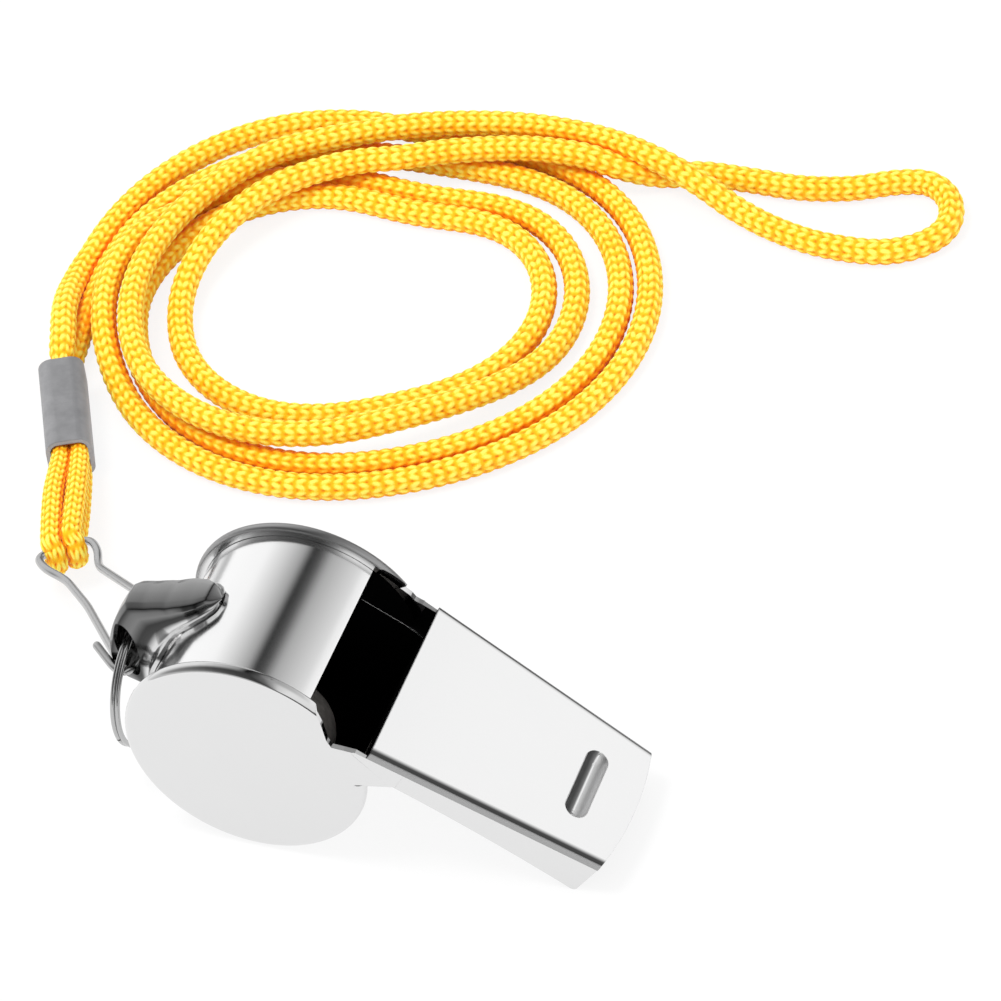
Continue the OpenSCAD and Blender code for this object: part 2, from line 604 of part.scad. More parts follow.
// a pressed strap that bulges off the barrel, on a foot that hugs it
module lanyard_ear() {
  color(steel) in_whistle() difference() {
    union() {
      intersection() {
        slab(ear_w) polygon(concat([[0, 0]], ear_edge(0)));
        translate([-2 * disc_r, 0, 0]) rotate([90, 0, 90]) linear_extrude(2 * disc_r)
          ear_front(ear_w);
      }
      intersection() {
        about_barrel() rotate([0, 0, foot_from]) rotate_extrude(angle = foot_to - foot_from)
          translate([barrel_r - lap, -foot_w / 2]) square([ear_t + lap, foot_w]);
        translate([-2 * disc_r, 0, 0]) rotate([90, 0, 90]) linear_extrude(2 * disc_r)
          polygon([[-ear_w / 2, barrel_r], [ear_w / 2, barrel_r], [ear_w / 2, 0],
            [foot_w / 2, -foot_w / 5], [foot_w / 2, -barrel_r * 0.5], [foot_w / 2 - 2 * sheet, -barrel_r],
            [2 * sheet - foot_w / 2, -barrel_r], [-foot_w / 2, -barrel_r * 0.5],
            [-foot_w / 2, -foot_w / 5], [-ear_w / 2, 0]]);
      }
    }
    slab(ear_w - 2 * ear_t) polygon(concat([[0, 0]], ear_edge(ear_t)));
    about_barrel() translate([0, 0, -body_w / 2]) cylinder(r = barrel_r, h = body_w);
    ear_slot();
  }
}

module cork_pea() {
  drop = barrel_in - pea_gap - pea_r;
  color(cork) translate([barrel_x, pea_y, disc_r - drop]) sphere(pea_r);
}

// two turns of wire side by side, with the wire's two ends cut apart
module split_ring() {
  color(wire_steel) translate([ring_top.x, 0, ring_top.z - ring_r]) rotate([0, 90, 0]) difference() {
    rotate_extrude() for (side = [-1, 1]) translate([ring_r, side * ring_pitch / 2])
      circle(ring_wire_r, $fn = 24);
    for (side = [-1, 1]) rotate([0, 0, -62 + side * 9])
      translate([ring_r - 2 * ring_wire_r, -ring_cut / 2, side < 0 ? -4 * ring_wire_r : ring_wire_r * 0.1])
        cube([4 * ring_wire_r, ring_cut, 3.9 * ring_wire_r]);
  }
}

module wire_clip() {
  color(wire_steel) tube(ends_doubled(bent(clip_route, clip_bend_r, 4)), [clip_wire_r], 12, clip_off);
}

module crimp_ferrule() {
  corner = ferrule_w * 0.3;
  module outline(inset) {
    w = ferrule_w - 2 * inset;
    h = ferrule_h - 2 * inset;
    r = corner - inset;
    translate([-w / 2 + r, -h / 2]) square([w - 2 * r, h]);
    translate([-w / 2, -h / 2 + r]) square([w, h - 2 * r]);
    for (x = [-1, 1], y = [-1, 1]) translate([x * (w / 2 - r), y * (h / 2 - r)]) circle(r);
  }
  color(aluminium) translate(ferrule_start) rotate([0, 0, ferrule_turn]) rotate([90, 0, 90])
    linear_extrude(ferrule_len) difference() {
      outline(0);
      outline(ferrule_t);
      translate([0, -ferrule_seam / 2 - ferrule_h / 4]) square([ferrule_w, ferrule_seam]);
    }
}

// a cord's radius at each ring, squeezed at first
function lead_radii(count) = [for (i = [0 : count]) squeezed_d / 2
  + (cord_d - squeezed_d) / 2 * smooth((i - 4) / 4)];

module tail_tube(side) {
  path = tail(side);
  count = len(path);
  radii = [for (i = [0 : count]) let(from_end = min(i, count - 1 - i)) squeezed_d / 2
    + (tail_d - squeezed_d) / 2 * smooth((from_end - 6) / 3)];
  color(yellow) tube(ends_doubled(path), radii, 8, clip_across);
}

module cord_tail_inner() {
  tail_tube(1);
}

module cord_tail_outer() {
  tail_tube(-1);
}

module lanyard_lead_a() {
  color(yellow) tube(concat([2 * lead_a[0] - lead_a[1]], lead_a, [coil_a[1]]), lead_radii(len(lead_a)), 8);
}

module lanyard_lead_b() {
  color(yellow) tube(concat([2 * lead_b[0] - lead_b[1]], lead_b, [coil_b[1]]), lead_radii(len(lead_b)), 8);
}

module lanyard_coil_a() {
  color(yellow) tube(concat([lead_a[len(lead_a) - 2]], coil_a, [neck[1]]), [cord_d / 2], 6);
}

module lanyard_coil_b() {
  color(yellow) tube(concat([lead_b[len(lead_b) - 2]], coil_b, [neck[len(neck) - 2]]), [cord_d / 2], 6);
}

module neck_loop() {
  color(yellow) tube(concat([coil_a[last_a - 1]], neck, [coil_b[last_b - 1]]), [cord_d / 2], 8);
}

barrel_shell();
left_side_plate();
right_side_plate();
mouthpiece_top();
mouthpiece_floor();
windway_floor();
lanyard_ear();
cork_pea();
split_ring();
wire_clip();
crimp_ferrule();
cord_tail_inner();
cord_tail_outer();
lanyard_lead_a();
lanyard_lead_b();
lanyard_coil_a();
lanyard_coil_b();
neck_loop();
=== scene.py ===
import math

import bmesh
import bpy
import numpy as np
from mathutils import Matrix


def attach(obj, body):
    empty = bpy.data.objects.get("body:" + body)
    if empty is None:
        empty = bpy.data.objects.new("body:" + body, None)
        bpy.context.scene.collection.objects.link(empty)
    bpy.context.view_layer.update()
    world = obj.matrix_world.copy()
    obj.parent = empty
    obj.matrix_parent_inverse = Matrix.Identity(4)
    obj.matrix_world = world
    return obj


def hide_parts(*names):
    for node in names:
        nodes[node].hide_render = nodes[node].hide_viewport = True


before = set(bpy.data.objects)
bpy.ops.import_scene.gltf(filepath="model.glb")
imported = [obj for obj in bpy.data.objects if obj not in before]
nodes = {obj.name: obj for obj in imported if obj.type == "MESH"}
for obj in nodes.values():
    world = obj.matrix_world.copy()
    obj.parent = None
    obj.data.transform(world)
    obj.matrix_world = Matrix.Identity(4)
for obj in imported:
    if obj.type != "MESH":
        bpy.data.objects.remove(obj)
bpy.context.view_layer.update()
MM = 0.001

# camera
# the photograph's own camera: about 0.65 m off, a long lens, looking down at 45 degrees
CAMERA_RIGHT = np.array([0.9398, 0.3284, -0.0947])
CAMERA_AWAY = np.array([-0.2960, 0.6436, -0.7058])
CAMERA_AT = np.array([197.50, -391.75, 475.47])
SENSOR_WIDTH = 36
FOCAL_LENGTH = 228.33
right = CAMERA_RIGHT / np.linalg.norm(CAMERA_RIGHT)
away = CAMERA_AWAY - right * CAMERA_AWAY.dot(right)
away = away / np.linalg.norm(away)
down = np.cross(away, right)
camera_at = CAMERA_AT * MM
lens = bpy.data.cameras.new("camera")
lens.sensor_width = SENSOR_WIDTH
lens.lens = FOCAL_LENGTH
lens.clip_start = 0.02
lens.clip_end = 20
camera = bpy.data.objects.new("camera", lens)
camera.matrix_world = Matrix([
    (right[0], -down[0], -away[0], camera_at[0]),
    (right[1], -down[1], -away[1], camera_at[1]),
    (right[2], -down[2], -away[2], camera_at[2]),
    (0, 0, 0, 1)])
bpy.context.scene.collection.objects.link(camera)
bpy.context.scene.camera = camera
bpy.context.scene.view_settings.view_transform = "Standard"


# node helpers
class Net:
    """A small helper that makes shader nodes and links them."""

    def __init__(self, tree):
        self.tree = tree
        tree.nodes.clear()

    def node(self, kind, **settings):
        made = self.tree.nodes.new(kind)
        for key, value in settings.items():
            setattr(made, key, value)
        return made

    def put(self, socket, value):
        if hasattr(value, "is_output"):
            self.tree.links.new(value, socket)
        else:
            socket.default_value = value

    def math(self, operation, *values, clamp=False):
        made = self.node("ShaderNodeMath", operation=operation, use_clamp=clamp)
        for socket, value in zip(made.inputs, values):
            self.put(socket, value)
        return made.outputs[0]

    def smooth(self, value, low, high):
        made = self.node("ShaderNodeMapRange", interpolation_type="SMOOTHSTEP")
        self.put(made.inputs["Value"], value)
        self.put(made.inputs["From Min"], low)
        self.put(made.inputs["From Max"], high)
        return made.outputs[0]

    def ramp(self, value, stops):
        """A value or a colour between the stops, each a place from 0 to 1 and what it has there."""
        made = self.node("ShaderNodeValToRGB")
        self.put(made.inputs[0], value)
        band = made.color_ramp
        while len(band.elements) > 1:
            band.elements.remove(band.elements[-1])
        for index, (at, colour) in enumerate(stops):
            stop = band.elements[0] if index == 0 else band.elements.new(at)
            stop.position = at
            if not hasattr(colour, "__len__"):
                colour = (colour, colour, colour)
            stop.color = (*colour, 1)
        return made.outputs[0]

    def mix(self, share, first, second):
        made = self.node("ShaderNodeMix", data_type="RGBA")
        self.put(made.inputs[0], share)
        self.put(made.inputs[6], first)
        self.put(made.inputs[7], second)
        return made.outputs[2]

    def blend(self, share, first, second):
        made = self.node("ShaderNodeMix", data_type="FLOAT")
        self.put(made.inputs[0], share)
        self.put(made.inputs[2], first)
        self.put(made.inputs[3], second)
        return made.outputs[0]

    def vector_math(self, operation, first, second):
        made = self.node("ShaderNodeVectorMath", operation=operation)
        self.put(made.inputs[0], first)
        self.put(made.inputs[1], second)
        return made

    def separate(self, vector):
        made = self.node("ShaderNodeSeparateXYZ")
        self.put(made.inputs[0], vector)
        return made.outputs

    def object_place(self):
        return self.node("ShaderNodeTexCoord").outputs["Object"]

    def face_normal(self):
        return self.node("ShaderNodeNewGeometry").outputs["Normal"]

    def rounded_edges(self, radius):
        made = self.node("ShaderNodeBevel", samples=4)
        made.inputs["Radius"].default_value = radius
        return made.outputs[0]

    def metal_rays(self, rays):
        """1 where a mirror or a lens looks, and 0 for all other rays."""
        return self.math("MAXIMUM", rays.outputs["Is Glossy Ray"], rays.outputs["Is Transmission Ray"])

    def noise(self, vector, scale, detail, roughness):
        made = self.node("ShaderNodeTexNoise")
        self.put(made.inputs["Vector"], vector)
        made.inputs["Scale"].default_value = scale
        made.inputs["Detail"].default_value = detail
        made.inputs["Roughness"].default_value = roughness
        return made.outputs[0]

    def mapping(self, vector, scale=(1, 1, 1), turn=(0, 0, 0)):
        made = self.node("ShaderNodeMapping")
        self.put(made.inputs["Vector"], vector)
        made.inputs["Scale"].default_value = scale
        made.inputs["Rotation"].default_value = turn
        return made.outputs[0]

    def bump(self, height, distance, strength=1.0, normal=None):
        made = self.node("ShaderNodeBump")
        made.inputs["Distance"].default_value = distance
        made.inputs["Strength"].default_value = strength
        self.put(made.inputs["Height"], height)
        if normal is not None:
            self.put(made.inputs["Normal"], normal)
        return made.outputs[0]


def material(name):
    """A new material, its node helper and its main shader."""
    made = bpy.data.materials.new(name)
    made.use_nodes = True
    net = Net(made.node_tree)
    out = net.node("ShaderNodeOutputMaterial")
    shader = net.node("ShaderNodeBsdfPrincipled")
    made.node_tree.links.new(shader.outputs[0], out.inputs[0])
    return made, net, shader


# studio
# A plain white room, which only mirrors see in detail. They see a dark gap between two big soft
# boxes overhead, which runs from back to front, and a darker band where the room meets the table
WHITE = (1, 1, 1, 1)
SOFT_WHITE = (0.96, 0.96, 0.97, 1)
# brightness round the overhead arc, from the right over the top to the left, in degrees
BACK_ARC = [(0, 0.95), (35, 1.0), (45, 0.7), (60, 0.55), (75, 0.4), (85, 0.08), (95, 0.0), (103, 0.35),
            (120, 0.65), (140, 0.95), (180, 1.0)]
FRONT_ARC = [(0, 0.90), (55, 0.95), (66, 0.75), (72, 0.42), (80, 0.16), (92, 0.05), (110, 0.06),
             (130, 0.09), (145, 0.16), (160, 0.26), (180, 0.32)]
# brightness just over and under the horizon, from the left to the right: grey at the back left
# and dark at the back right
BACK_BAND = [(0, 1.0), (0.35, 0.6), (0.6, 0.34), (1, 0.03)]
FRONT_BAND = [(0, 0.60), (1, 0.06)]
# where the back turns into the front, where the bands lie from left to right, and how high
BACK_TO_FRONT = (0.30, -0.45)
BACK_BAND_SPAN = (-0.75, 0.15)
FRONT_BAND_SPAN = (-0.25, 0.10)
BAND_HEIGHT = (0.03, 0.22)


def arc_stops(arc):
    """Angles from 0 to 180 degrees as places from 0 to 1."""
    return [(angle / 180, value) for angle, value in arc]


def white_room():
    world = bpy.data.worlds.new("studio")
    world.use_nodes = True
    net = Net(world.node_tree)
    out = net.node("ShaderNodeOutputWorld")
    ground = net.node("ShaderNodeBackground")
    world.node_tree.links.new(ground.outputs[0], out.inputs[0])
    dir_x, dir_y, dir_z = net.separate(net.node("ShaderNodeTexCoord").outputs["Generated"])
    turn = net.math("ARCTAN2", dir_z, dir_x)
    share = net.math("DIVIDE", turn, math.pi)
    back_light = net.ramp(share, arc_stops(BACK_ARC))
    front_light = net.ramp(share, arc_stops(FRONT_ARC))
    is_front = net.smooth(dir_y, *BACK_TO_FRONT)
    dome = net.mix(is_front, back_light, front_light)
    back_band = net.ramp(net.smooth(dir_x, *BACK_BAND_SPAN), BACK_BAND)
    front_band = net.ramp(net.smooth(dir_x, *FRONT_BAND_SPAN), FRONT_BAND)
    band = net.mix(is_front, back_band, front_band)
    near_horizon = net.math("SUBTRACT", 1.0, net.smooth(dir_z, *BAND_HEIGHT), clamp=True)
    seen = net.mix(near_horizon, dome, band)
    rays = net.node("ShaderNodeLightPath")
    colour = net.mix(net.metal_rays(rays), SOFT_WHITE, seen)
    colour = net.mix(rays.outputs["Is Camera Ray"], colour, WHITE)
    net.put(ground.inputs["Color"], colour)
    ground.inputs["Strength"].default_value = 1.0
    return world


bpy.context.scene.world = white_room()


def plane(name, low, high, height):
    mesh = bpy.data.meshes.new(name)
    mesh.from_pydata([(low[0], low[1], height), (high[0], low[1], height),
                      (high[0], high[1], height), (low[0], high[1], height)], [], [(0, 1, 2, 3)])
    made = bpy.data.objects.new(name, mesh)
    bpy.context.scene.collection.objects.link(made)
    return made


TABLE_LOW, TABLE_HIGH = (-0.30, -0.24), (0.30, 0.26)
TABLE_LEVEL = -0.00002
TABLE_COLOUR = (0.93, 0.93, 0.93, 1)
TABLE_GLOW = 0.86
# the metal sees the table's far part in shade
SHADE_SPAN = (0.02, 0.10)
SHADE = (0.34, 0.34, 0.34, 1)


def table_white():
    """White with a faint shadow: an even glow makes up most of what the camera and mirrors see."""
    made, net, shader = material("table_white")
    shader.inputs["Base Color"].default_value = TABLE_COLOUR
    shader.inputs["Roughness"].default_value = 0.8
    shader.inputs["Specular IOR Level"].default_value = 0.0
    glow = net.node("ShaderNodeEmission")
    glow.inputs["Strength"].default_value = 1.0
    rays = net.node("ShaderNodeLightPath")
    lit = net.math("MAXIMUM", rays.outputs["Is Camera Ray"], rays.outputs["Is Glossy Ray"])
    lit = net.math("MAXIMUM", lit, rays.outputs["Is Transmission Ray"])
    lit = net.math("MULTIPLY", lit, TABLE_GLOW)
    far_part = net.smooth(net.separate(net.object_place())[1], *SHADE_SPAN)
    shaded = net.math("MULTIPLY", far_part, net.metal_rays(rays))
    net.put(glow.inputs["Color"], net.mix(shaded, WHITE, SHADE))
    both = net.node("ShaderNodeMixShader")
    net.put(both.inputs[0], lit)
    net.tree.links.new(shader.outputs[0], both.inputs[1])
    net.tree.links.new(glow.outputs[0], both.inputs[2])
    for node in made.node_tree.nodes:
        if node.type == "OUTPUT_MATERIAL":
            net.tree.links.new(both.outputs[0], node.inputs[0])
    return made


floor = plane("table", TABLE_LOW, TABLE_HIGH, TABLE_LEVEL)
floor.data.materials.append(table_white())


def lamp(name, at, towards, size, power):
    data = bpy.data.lights.new(name, "AREA")
    data.shape = "DISK"
    data.size = size
    data.energy = power
    made = bpy.data.objects.new(name, data)
    at = np.array(at)
    aim = np.array(towards) - at
    aim = aim / np.linalg.norm(aim)
    side = np.cross(aim, (0, 0, 1))
    side = side / np.linalg.norm(side)
    over = np.cross(side, aim)
    made.matrix_world = Matrix([
        (side[0], over[0], -aim[0], at[0]),
        (side[1], over[1], -aim[1], at[1]),
        (side[2], over[2], -aim[2], at[2]),
        (0, 0, 0, 1)])
    made.visible_glossy = False
    bpy.context.scene.collection.objects.link(made)


lamp("key", at=(-0.25, -0.10, 0.75), towards=(-0.02, 0.04, 0), size=0.30, power=3.2)

# cord
# the line that the cord follows, its lengths and its places are those of the part's source
CORD_D = 2.6
# over the raised stitches
KNIT_D = 2.94
SQUEEZED_D = 2.0
TAIL_D = 2.1
COIL_CENTRE = (-24.5, 66.0)
GROUND = CORD_D / 2 + 0.05
# each lane: start radius, moves as from turn, to turn and change of radius, climbs in the same
# way, the depth of the dents at the top, and the turn where it ends
LANE_A = (33.9, [(0.02, 0.45, -3.9), (0.96, 1.22, -8), (1.56, 1.9, 5.4), (1.86, 2.1, -2)],
          [(0.86, 0.94, 1.9), (1, 1.07, -1.9), (1.48, 1.7, 3.05)], 4.4, 2.125)
LANE_B = (31.2, [(0, 0.2, -4.4), (0.95, 1.22, -8.4), (1.66, 1.92, 3.4), (1.95, 2.15, -1.6)],
          [(1.9, 2.12, 3.05)], 3.6, 2.2083)
# the coil is dented at its top, until nearly two turns have passed, and at its right
TOP_TURN, TOP_WIDTH = 0.25, 0.09
TOP_UNTIL, TOP_FADE = 1.9, 0.2
RIGHT_TURN, RIGHT_WIDTH, RIGHT_DIP = 0.66, 0.12, 2.2
# the part's own steps in a turn
TURN_STEPS = 24
FERRULE_TURN = math.radians(115.8)
FERRULE_LEN, FERRULE_H = 13.0, 5.6
ferrule_start = np.array([-47.9, 34.0, FERRULE_H / 2])
ferrule_dir = np.array([math.cos(FERRULE_TURN), math.sin(FERRULE_TURN), 0])
ferrule_side = np.array([math.sin(FERRULE_TURN), -math.cos(FERRULE_TURN), 0])
up = np.array([0, 0, 1.0])
ferrule_middle = ferrule_start + ferrule_dir * FERRULE_LEN / 2
ferrule_end = ferrule_start + ferrule_dir * FERRULE_LEN
BUTT_GAP = 0.3
cord_rise = SQUEEZED_D / 2 + BUTT_GAP / 3
LEAD_A = [(-55.2, 50.2, 4.1), (-57.1, 55.4, 3.6), (-58.3, 60.8, 2)]
LEAD_B = [(-54.5, 50.6, 1.4), (-55.2, 55.6, 1.35), (-55.6, 60.8, 1.35)]
NECK = [(-33, 89.6, 4.4), (-25.2, 92.6, 4.4), (-16.2, 94.3, 4.4), (-7.6, 94, 4.5), (-1, 92.3, 4.5),
        (4.4, 90.8, 3.4), (9.2, 89.3, 1.8), (14.2, 87.6, 1.35), (20, 86.4, 1.35), (26.4, 86.7, 1.35),
        (30.6, 88.9, 1.35), (32.6, 92.3, 1.35), (31.8, 96.2, 1.35), (29, 98.5, 1.35), (25.4, 98, 1.35),
        (20.5, 95.8, 1.35), (15, 94.6, 1.35), (9.3, 94.5, 1.35), (4, 94.3, 1.35), (-0.6, 92.8, 1.6),
        (-4.6, 91.3, 3.2), (-9, 91, 4.4), (-15.6, 90.6, 4.4), (-23.2, 88.4, 4.4)]


def smooth_step(value):
    value = np.clip(value, 0, 1)
    return value * value * (3 - 2 * value)


def moved(moves, turn_count):
    return sum(change * smooth_step((turn_count - start) / (stop - start)) for start, stop, change in moves)


def dip(turn_count, at, width):
    return np.exp(-((turn_count - np.floor(turn_count) - at) / width) ** 2)


def coil(lane, steps):
    t = np.arange(int(round(lane[4] * TURN_STEPS)) * steps + 1) / TURN_STEPS / steps
    dented = 1 - smooth_step((t - TOP_UNTIL) / TOP_FADE)
    r = (lane[0] + moved(lane[1], t) - lane[3] * dip(t, TOP_TURN, TOP_WIDTH) * dented
         - RIGHT_DIP * dip(t, RIGHT_TURN, RIGHT_WIDTH))
    angle = np.radians(180 - 360 * t)
    return np.column_stack([COIL_CENTRE[0] + r * np.cos(angle), COIL_CENTRE[1] + r * np.sin(angle),
                            GROUND + moved(lane[2], t)])


def curve(points, steps):
    """A smooth curve through the points; the first and last only give directions."""
    p = np.array(points, dtype=float)
    made = []
    for i in range(1, len(p) - 2):
        for k in range(steps):
            s = k / steps
            made.append(0.5 * (2 * p[i] + (p[i + 1] - p[i - 1]) * s
                               + (2 * p[i - 1] - 5 * p[i] + 4 * p[i + 1] - p[i + 2]) * s * s
                               + (3 * p[i] - p[i - 1] - 3 * p[i + 1] + p[i + 2]) * s ** 3))
    made.append(p[-2])
    return np.array(made)


def resampled(points, step, passes):
    """The line with even steps, its corners eased."""
    p = np.array(points, dtype=float)
    along = np.concatenate([[0], np.cumsum(np.linalg.norm(np.diff(p, axis=0), axis=1))])
    count = int(round(along[-1] / step))
    at = np.linspace(0, along[-1], count + 1)
    p = np.column_stack([np.interp(at, along, p[:, i]) for i in range(3)])
    for _ in range(passes):
        p[1:-1] = (p[:-2] + 2 * p[1:-1] + p[2:]) / 4
    return p


def frames(points, first_side):
    """Two directions square to the line at each point, turning as little as they can."""
    tangent = np.gradient(points, axis=0)
    tangent = tangent / np.linalg.norm(tangent, axis=1)[:, None]
    side = np.zeros_like(points)
    now = np.array(first_side, dtype=float)
    for i, t in enumerate(tangent):
        now = now - t * now.dot(t)
        now = now / math.sqrt(now.dot(now))
        side[i] = now
    return tangent, side, np.cross(tangent, side)


def grid_mesh(name, rings):
    """A closed tube from rings of points, an array of ring, point round it and coordinate, in mm."""
    count, sides, _ = rings.shape
    verts = rings.reshape(-1, 3) * MM
    a = (np.arange(count - 1)[:, None] * sides + np.arange(sides)[None, :]).ravel()
    b = (np.arange(count - 1)[:, None] * sides + (np.arange(sides)[None, :] + 1) % sides).ravel()
    quads = np.column_stack([a, b, b + sides, a + sides])
    mesh = bpy.data.meshes.new(name)
    faces = quads.tolist()
    faces.append(list(range(sides))[::-1])
    faces.append([(count - 1) * sides + k for k in range(sides)])
    mesh.from_pydata(verts.tolist(), [], faces)
    mesh.polygons.foreach_set("use_smooth", [True] * len(mesh.polygons))
    made = bpy.data.objects.new(name, mesh)
    bpy.context.scene.collection.objects.link(made)
    return made


def unit_rings(around, side, over):
    """A circle of radius 1 square to the line at each of its points."""
    return (np.cos(around)[None, :, None] * side[:, None, :]
            + np.sin(around)[None, :, None] * over[:, None, :])


WALES = 6
STITCH = 1.32
LEG_R = 0.40
RINGS_PER_STITCH = 8
# a stitch's leg runs from here to there, in shares of a wale's width and of a stitch
LEG_FROM, LEG_TO, LEG_RISE = 0.10, 0.42, 0.95
# how far a leg dives under its neighbours at its ends
LEG_DIVE = 0.35
EASING_PASSES = 6
FINE_STEPS = 12


def knit(name, line, radius_at, first_side, sides=56, twist=0.0, leg=1.0):
    """A knitted cord: a column of V stitches runs along it for each wale, each leg a raised strand."""
    step = STITCH * leg / RINGS_PER_STITCH
    points = resampled(line, step, EASING_PASSES)
    _, side, over = frames(points, first_side)
    along = np.arange(len(points)) * step
    around = np.arange(sides) / sides * 2 * math.pi
    rest = radius_at(along)
    mean = KNIT_D * leg / 2
    wale_w = 2 * math.pi * (mean - LEG_R * leg / 2) / WALES
    column = around[None, :] / (2 * math.pi) * WALES + twist * along[:, None]
    share = column - np.floor(column)
    # from the middle of a wale out to its edge, in mm
    across = np.abs(share - 0.5) * wale_w
    row = along[:, None] / (STITCH * leg)
    lift = np.zeros_like(across)
    start = np.array([LEG_FROM * wale_w, 0.0])
    stop = np.array([LEG_TO * wale_w, LEG_RISE * STITCH * leg])
    run = stop - start
    thick = LEG_R * leg
    for offset in (-1, 0, 1):
        y = (row - np.floor(row) + offset) * STITCH * leg
        t = np.clip(((across - start[0]) * run[0] + (y - start[1]) * run[1]) / run.dot(run), 0, 1)
        gap_x = across - start[0] - run[0] * t
        gap_y = y - start[1] - run[1] * t
        far = np.sqrt(gap_x ** 2 + gap_y ** 2)
        body = np.sqrt(np.clip(1 - (far / thick) ** 2, 0, 1)) * (1 - LEG_DIVE * (2 * t - 1) ** 2)
        lift = np.maximum(lift, body)
    radius = rest[:, None] * (1 - LEG_R / (KNIT_D / 2) * (1 - lift))
    rings = points[:, None, :] + radius[:, :, None] * unit_rings(around, side, over)
    made = grid_mesh(name, rings)
    depth = made.data.attributes.new("lift", "FLOAT", "POINT")
    depth.data.foreach_set("value", lift.ravel().astype(np.float32))
    return made, points


# how much single fibres and larger patches change the tone
FIBRE_SHARE, PATCH_SHARE = 0.34, 0.22
# painted shade: a stitch that its neighbours within this reach close in keeps this much of its tone
GAP_REACH = 0.0016
GAP_PAINTED_SHADE = 0.45
# the yarn's colour from the gaps between stitches to their crowns, with painted shade turning the gaps deep
# orange and a painted highlight turning the crowns pale yellow
YARN_PAINTED_SHADE_AND_HIGHLIGHT = [(0.0, (0.93, 0.06, 0.0)), (0.22, (0.95, 0.18, 0.0)), (0.48, (0.95, 0.34, 0.0)),
        (0.72, (0.96, 0.53, 0.004)), (0.95, (0.99, 0.85, 0.13))]


def knitted_yellow():
    made, net, shader = material("knitted_yellow")
    lift = net.node("ShaderNodeAttribute", attribute_name="lift").outputs["Fac"]
    place = net.object_place()
    fibre = net.noise(place, scale=5200.0, detail=3.0, roughness=0.6)
    patch = net.noise(place, scale=320.0, detail=2.0, roughness=0.5)
    tone = net.math("ADD", lift, net.math("MULTIPLY", net.math("SUBTRACT", fibre, 0.5), FIBRE_SHARE))
    tone = net.math("ADD", tone, net.math("MULTIPLY", net.math("SUBTRACT", patch, 0.5), PATCH_SHARE))
    # painted shade where neighbouring stitches close in on a stitch
    shade = net.node("ShaderNodeAmbientOcclusion", samples=6)
    shade.inputs["Distance"].default_value = GAP_REACH
    open_share = net.smooth(shade.outputs["AO"], 0.15, 0.85)
    tone = net.math("MULTIPLY", tone, net.blend(open_share, GAP_PAINTED_SHADE, 1.0))
    # the yarn's colour by stitch height, with painted shade in the gaps and a painted highlight on the crowns
    net.put(shader.inputs["Base Color"], net.ramp(tone, YARN_PAINTED_SHADE_AND_HIGHLIGHT))
    shader.inputs["Roughness"].default_value = 0.62
    shader.inputs["Specular IOR Level"].default_value = 0.30
    shader.inputs["Sheen Weight"].default_value = 0.10
    shader.inputs["Sheen Roughness"].default_value = 0.5
    shader.inputs["Sheen Tint"].default_value = (1.0, 0.8, 0.3, 1)
    net.put(shader.inputs["Normal"], net.bump(fibre, 0.00005, 0.6))
    return made


yellow = knitted_yellow()


def lead_start(level):
    return [ferrule_middle + ferrule_dir * BUTT_GAP / 2 + up * level * cord_rise,
            ferrule_end + up * level * cord_rise]


def lead(route, level, ring):
    start = lead_start(level)
    return curve([start[0] - ferrule_dir, *start, *route, ring[0], ring[TURN_FINE]], FINE_STEPS)


# each of the part's own steps round a coil is split into this many
TURN_FINE = 8
coil_a = coil(LANE_A, TURN_FINE)
coil_b = coil(LANE_B, TURN_FINE)
lead_a = lead(LEAD_A, 1, coil_a)
lead_b = lead(LEAD_B, -1, coil_b)
neck = curve([coil_a[-1 - TURN_FINE], coil_a[-1], *NECK, coil_b[-1], coil_b[-1 - TURN_FINE]],
             FINE_STEPS)
strand = np.vstack([lead_a[:-1], coil_a[:-1], neck[:-1], coil_b[::-1][:-1], lead_b[::-1]])


# the cord stays squeezed up to here, in shares of the ferrule, and then swells over these lengths
SQUEEZED_SHARE = 0.42
CORD_SWELL, TAIL_SWELL = 4.5, 3.0
TAIL_KNIT_D = TAIL_D + 0.25


def swelling(along, swell, full_d):
    """The radius along a cord that is squeezed at both its ends."""
    from_end = np.minimum(along, along[-1] - along)
    grown = smooth_step((from_end - FERRULE_LEN * SQUEEZED_SHARE) / swell)
    return SQUEEZED_D / 2 + (full_d - SQUEEZED_D) / 2 * grown


def cord_radius(along):
    return swelling(along, CORD_SWELL, KNIT_D)


cord, cord_line = knit("lanyard_cord", strand, cord_radius, ferrule_side, twist=0.012)
cord.data.materials.append(yellow)
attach(cord, "lanyard")
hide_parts("lanyard_lead_a", "lanyard_lead_b", "lanyard_coil_a", "lanyard_coil_b", "neck_loop")
# the metal in the photo mirrors no yellow
cord.visible_glossy = False

# the clip's pin, the bar that carries the cord and the clip's own directions, as the part's
# source works them out
PIN = np.array([-24.5232, 0, 14.2463])
BAR = np.array([-42.9322, 20.1003, 4.32774])
CLIP_TURN, CLIP_DIP = math.radians(41.35), math.radians(20)
CLIP_REACH, CLIP_W, CLIP_WIRE = 29.0, 6.0, 0.45
clip_across = np.array([math.cos(CLIP_TURN), math.sin(CLIP_TURN), 0])
clip_along = np.array([-math.sin(CLIP_TURN) * math.cos(CLIP_DIP), math.cos(CLIP_TURN) * math.cos(CLIP_DIP),
                       -math.sin(CLIP_DIP)])
clip_off = np.cross(clip_along, clip_across)
bar_back = np.array([math.sin(CLIP_TURN), -math.cos(CLIP_TURN), 0])
TAIL_SWING = TAIL_D / 2 + CLIP_WIRE + 0.05
TAIL_SPACING = TAIL_D / 2 + 0.07
# how far a tail runs over and under its straight line, in shares of its diameter
TAIL_OVER, TAIL_UNDER = 0.75, 0.62


